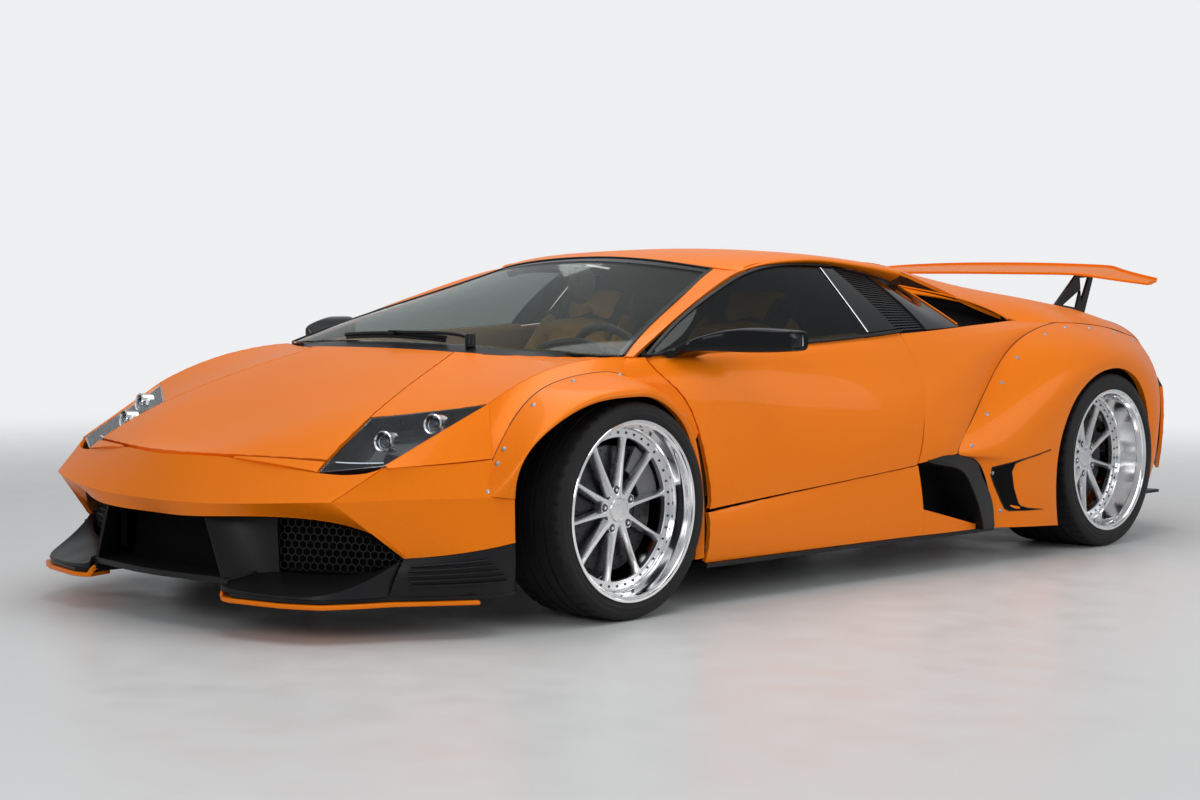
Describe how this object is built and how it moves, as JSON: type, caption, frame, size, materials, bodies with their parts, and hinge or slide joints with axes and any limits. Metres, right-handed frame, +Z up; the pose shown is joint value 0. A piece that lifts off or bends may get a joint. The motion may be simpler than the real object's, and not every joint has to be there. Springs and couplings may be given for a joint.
{
  "type": "wide-body supercar",
  "caption": "Low mid-engined two-seat coupe with a wide-body kit, upswinging doors, opening lids, steering, rolling wheels and a rear wing.",
  "frame": {"origin": "on the ground, at the centre of the bounding box's underside", "axes": "+Z up, +Y towards the rear of the car, +X towards its left side"},
  "size_m": [2.204, 4.6579, 1.1254],
  "materials": {
    "body_paint": "metallic orange clear-coated paint",
    "side_glass": "tinted side glass",
    "windscreen_glass": "lightly tinted laminated glass",
    "gloss_black": "gloss black",
    "satin_black": "satin black",
    "black_mesh": "black moulded honeycomb mesh",
    "lamp_housing": "black lamp housing behind a clear lens",
    "tail_lamp_red": "red lens",
    "chassis_black": "black coated steel and carbon tub",
    "polished_rim": "machined and polished aluminium",
    "tyre_rubber": "black tyre rubber",
    "brake_metal": "grey brake and upright metal",
    "cast_metal": "cast engine metal",
    "exhaust_steel": "brushed exhaust steel",
    "tan_leather": "golden tan leather",
    "dark_leather": "black leather"
  },
  "bodies": {
    "root": {"front_fender_left": "body_paint", "front_fender_right": "body_paint", "windscreen": "windscreen_glass", "roof": "body_paint", "side_vents": "gloss_black", "rear_quarters": "body_paint", "front_flares": "body_paint", "rear_flares": "body_paint", "rear_deck": "body_paint", "tail_grille": "black_mesh", "tail_lamps": "tail_lamp_red", "rear_bumper": "body_paint", "front_bumper": "body_paint", "headlamps": "lamp_housing", "front_splitter": "satin_black", "front_lip": "body_paint", "front_grilles": "black_mesh", "sills": "body_paint", "side_skirts": "satin_black", "side_scoops": "satin_black", "wing": "body_paint", "wing_struts": "satin_black", "tub": "chassis_black", "front_frame": "chassis_black", "rear_frame": "chassis_black", "engine_block": "cast_metal", "diffuser": "satin_black", "exhaust": "exhaust_steel", "seats": "tan_leather", "dashboard": "dark_leather", "steering_wheel": "dark_leather", "wiper": "satin_black"},
    "bonnet": {"bonnet": "body_paint"},
    "engine_lid": {"engine_lid": "body_paint"},
    "door_left": {"door_left": "body_paint", "door_window_left": "side_glass", "mirror_left": "gloss_black"},
    "door_right": {"door_right": "body_paint", "door_window_right": "side_glass", "mirror_right": "gloss_black"},
    "knuckle_left": {"knuckle_left": "brake_metal"},
    "knuckle_right": {"knuckle_right": "brake_metal"},
    "wheel_front_left": {"rim_front_left": "polished_rim", "tyre_front_left": "tyre_rubber"},
    "wheel_front_right": {"rim_front_right": "polished_rim", "tyre_front_right": "tyre_rubber"},
    "wheel_rear_left": {"rim_rear_left": "polished_rim", "tyre_rear_left": "tyre_rubber"},
    "wheel_rear_right": {"rim_rear_right": "polished_rim", "tyre_rear_right": "tyre_rubber"}
  },
  "joints": [
    {"name": "steer_left", "type": "hinge", "parent": "root", "child": "knuckle_left", "pos_m": [0.81, -1.275, 0.326], "axis": [0, 0, 1], "range_deg": [-30, 30]},
    {"name": "steer_right", "type": "hinge", "parent": "root", "child": "knuckle_right", "pos_m": [-0.81, -1.275, 0.326], "axis": [0, 0, 1], "range_deg": [-30, 30]},
    {"name": "spin_front_left", "type": "hinge", "parent": "knuckle_left", "child": "wheel_front_left", "pos_m": [0.9, -1.275, 0.326], "axis": [1, 0, 0], "continuous": true},
    {"name": "spin_front_right", "type": "hinge", "parent": "knuckle_right", "child": "wheel_front_right", "pos_m": [-0.9, -1.275, 0.326], "axis": [1, 0, 0], "continuous": true},
    {"name": "spin_rear_left", "type": "hinge", "parent": "root", "child": "wheel_rear_left", "pos_m": [0.9, 1.39, 0.3335], "axis": [1, 0, 0], "continuous": true},
    {"name": "spin_rear_right", "type": "hinge", "parent": "root", "child": "wheel_rear_right", "pos_m": [-0.9, 1.39, 0.3335], "axis": [1, 0, 0], "continuous": true},
    {"name": "door_left", "type": "hinge", "parent": "root", "child": "door_left", "pos_m": [0.8, -1.155, 0.75], "axis": [0.9889, 0, -0.1483], "range_deg": [0, 75]},
    {"name": "door_right", "type": "hinge", "parent": "root", "child": "door_right", "pos_m": [-0.8, -1.155, 0.75], "axis": [0.9889, 0, 0.1483], "range_deg": [0, 75]},
    {"name": "bonnet_lift", "type": "hinge", "parent": "root", "child": "bonnet", "pos_m": [0, -1.402, 0.78], "axis": [-1, 0, 0], "range_deg": [0, 55]},
    {"name": "engine_lid_lift", "type": "hinge", "parent": "root", "child": "engine_lid", "pos_m": [0, 0.594, 1.088], "axis": [1, 0, 0], "range_deg": [0, 50]}
  ],
  "couplings": [
    {"joint": "steer_right", "follows": "steer_left", "ratio": 1}
  ]
}
